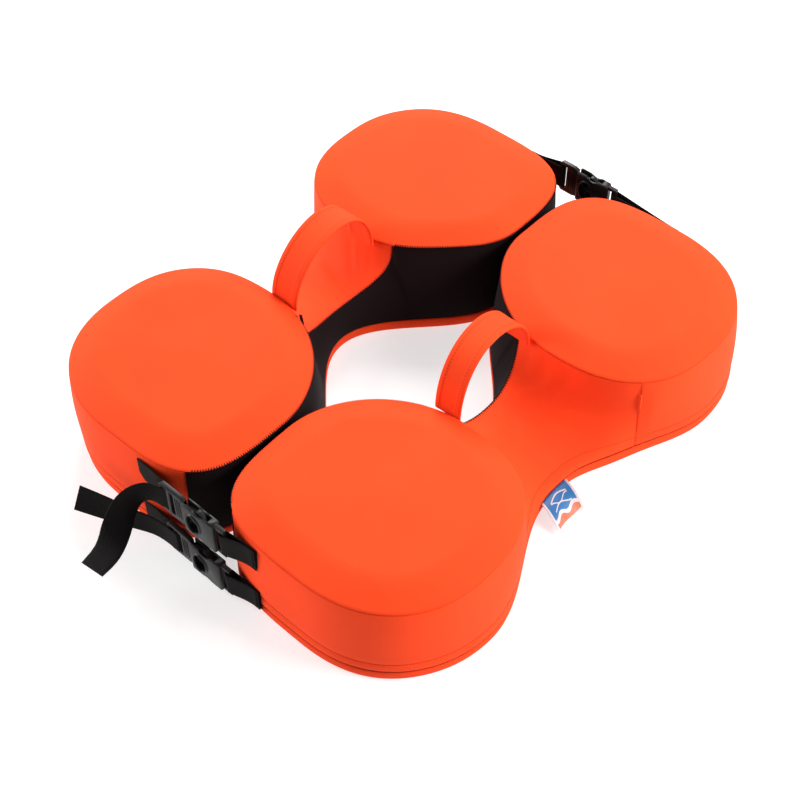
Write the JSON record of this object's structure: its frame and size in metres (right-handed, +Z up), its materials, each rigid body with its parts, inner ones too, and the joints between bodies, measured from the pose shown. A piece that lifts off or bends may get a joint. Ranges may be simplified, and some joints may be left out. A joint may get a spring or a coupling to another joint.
{
  "type": "foam life jacket",
  "caption": "Ring-shaped foam life jacket: two padded halves with shoulder bands, joined round the chest by webbing straps with side-release buckles.",
  "frame": {"origin": "on the floor under the middle of the object's bounding box", "axes": "+X from the wearer's strap-plug half to the socket half, +Y from the front straps to the rear strap, +Z up through the chest hole"},
  "size_m": [0.5258, 0.7026, 0.1715],
  "materials": {
    "orange_cloth": "matt woven nylon cover",
    "dark_cloth": "matt woven nylon cover",
    "zip_tape": "orange coil zip on woven tape",
    "webbing": "ribbed polyester webbing",
    "label_cloth": "printed woven label",
    "foam": "closed-cell foam",
    "buckle_plastic": "moulded acetal, fine grain"
  },
  "bodies": {
    "left_half": {"front_lower_buckle_plug": "buckle_plastic", "front_lower_tail_webbing": "webbing", "front_upper_buckle_plug": "buckle_plastic", "front_upper_tail_webbing": "webbing", "left_bottom_panel": "orange_cloth", "left_bridge_foam": "foam", "left_front_outer_side_panel": "orange_cloth", "left_front_pod_foam": "foam", "left_front_top_panel": "orange_cloth", "left_inner_side_panel": "dark_cloth", "left_rear_outer_side_panel": "orange_cloth", "left_rear_pod_foam": "foam", "left_rear_top_panel": "orange_cloth", "left_saddle_panel": "orange_cloth", "left_zip": "zip_tape", "rear_left_webbing": "webbing"},
    "right_half": {"care_label": "label_cloth", "front_lower_buckle_socket": "buckle_plastic", "front_lower_loop_webbing": "webbing", "front_upper_buckle_socket": "buckle_plastic", "front_upper_loop_webbing": "webbing", "rear_right_webbing": "webbing", "right_bottom_panel": "orange_cloth", "right_bridge_foam": "foam", "right_front_outer_side_panel": "orange_cloth", "right_front_pod_foam": "foam", "right_front_top_panel": "orange_cloth", "right_inner_side_panel": "dark_cloth", "right_rear_outer_side_panel": "orange_cloth", "right_rear_pod_foam": "foam", "right_rear_top_panel": "orange_cloth", "right_saddle_panel": "orange_cloth", "right_zip": "zip_tape"},
    "left_band": {"left_shoulder_band": "orange_cloth"},
    "right_band": {"right_shoulder_band": "orange_cloth"},
    "rear_plug": {"rear_buckle_plug": "buckle_plastic"},
    "rear_socket": {"rear_buckle_socket": "buckle_plastic"},
    "front_lower_buckle_lower_prong": {"front_lower_buckle_lower_prong": "buckle_plastic"},
    "front_lower_buckle_upper_prong": {"front_lower_buckle_upper_prong": "buckle_plastic"},
    "front_upper_buckle_lower_prong": {"front_upper_buckle_lower_prong": "buckle_plastic"},
    "front_upper_buckle_upper_prong": {"front_upper_buckle_upper_prong": "buckle_plastic"},
    "rear_buckle_lower_prong": {"rear_buckle_lower_prong": "buckle_plastic"},
    "rear_buckle_upper_prong": {"rear_buckle_upper_prong": "buckle_plastic"}
  },
  "joints": [
    {"name": "rear_left_pivot", "type": "hinge", "parent": "left_half", "child": "rear_plug", "pos_m": [-0.0352, 0.34585, 0.09], "axis": [0, 0, 1], "range_deg": [0, 40]},
    {"name": "rear_release", "type": "slide", "parent": "rear_plug", "child": "rear_socket", "axis": [1, 0, 0], "range_m": [0, 0.06]},
    {"name": "rear_right_pivot", "type": "hinge", "parent": "rear_socket", "child": "right_half", "pos_m": [0.039, 0.34585, 0.09], "axis": [0, 0, 1], "range_deg": [0, 40]},
    {"name": "right_band_fold", "type": "hinge", "parent": "right_half", "child": "right_band", "pos_m": [0.099, 0.04035, 0.104], "axis": [-0.0968, 0.9953, 0], "range_deg": [-80, 80], "stiffness_Nm_per_rad": 0.05},
    {"name": "left_band_fold", "type": "hinge", "parent": "left_half", "child": "left_band", "pos_m": [-0.123, 0.04035, 0.104], "axis": [-0.0459, 0.9989, 0], "range_deg": [-25, 60], "stiffness_Nm_per_rad": 0.05},
    {"name": "front_upper_buckle_upper_prong_flex", "type": "hinge", "parent": "left_half", "child": "front_upper_buckle_upper_prong", "pos_m": [-0.0057, -0.26515, 0.1012], "axis": [0, 1, 0], "range_deg": [0, 9], "stiffness_Nm_per_rad": 0.6},
    {"name": "front_upper_buckle_lower_prong_flex", "type": "hinge", "parent": "left_half", "child": "front_upper_buckle_lower_prong", "pos_m": [-0.0057, -0.26515, 0.0748], "axis": [0, 1, 0], "range_deg": [-9, 0], "stiffness_Nm_per_rad": 0.6},
    {"name": "front_lower_buckle_upper_prong_flex", "type": "hinge", "parent": "left_half", "child": "front_lower_buckle_upper_prong", "pos_m": [-0.0057, -0.26515, 0.0367], "axis": [0, 1, 0], "range_deg": [0, 9], "stiffness_Nm_per_rad": 0.6},
    {"name": "front_lower_buckle_lower_prong_flex", "type": "hinge", "parent": "left_half", "child": "front_lower_buckle_lower_prong", "pos_m": [-0.0057, -0.26515, 0.0103], "axis": [0, 1, 0], "range_deg": [-9, 0], "stiffness_Nm_per_rad": 0.6},
    {"name": "rear_buckle_upper_prong_flex", "type": "hinge", "parent": "rear_plug", "child": "rear_buckle_upper_prong", "pos_m": [-0.0097, 0.34585, 0.1032], "axis": [0, 1, 0], "range_deg": [0, 9], "stiffness_Nm_per_rad": 0.6},
    {"name": "rear_buckle_lower_prong_flex", "type": "hinge", "parent": "rear_plug", "child": "rear_buckle_lower_prong", "pos_m": [-0.0097, 0.34585, 0.0768], "axis": [0, 1, 0], "range_deg": [-9, 0], "stiffness_Nm_per_rad": 0.6}
  ],
  "couplings": [
    {"joint": "rear_left_pivot", "follows": "rear_right_pivot", "ratio": 1},
    {"joint": "front_upper_buckle_lower_prong_flex", "follows": "front_upper_buckle_upper_prong_flex", "ratio": -1},
    {"joint": "front_lower_buckle_lower_prong_flex", "follows": "front_lower_buckle_upper_prong_flex", "ratio": -1},
    {"joint": "rear_buckle_lower_prong_flex", "follows": "rear_buckle_upper_prong_flex", "ratio": -1}
  ]
}
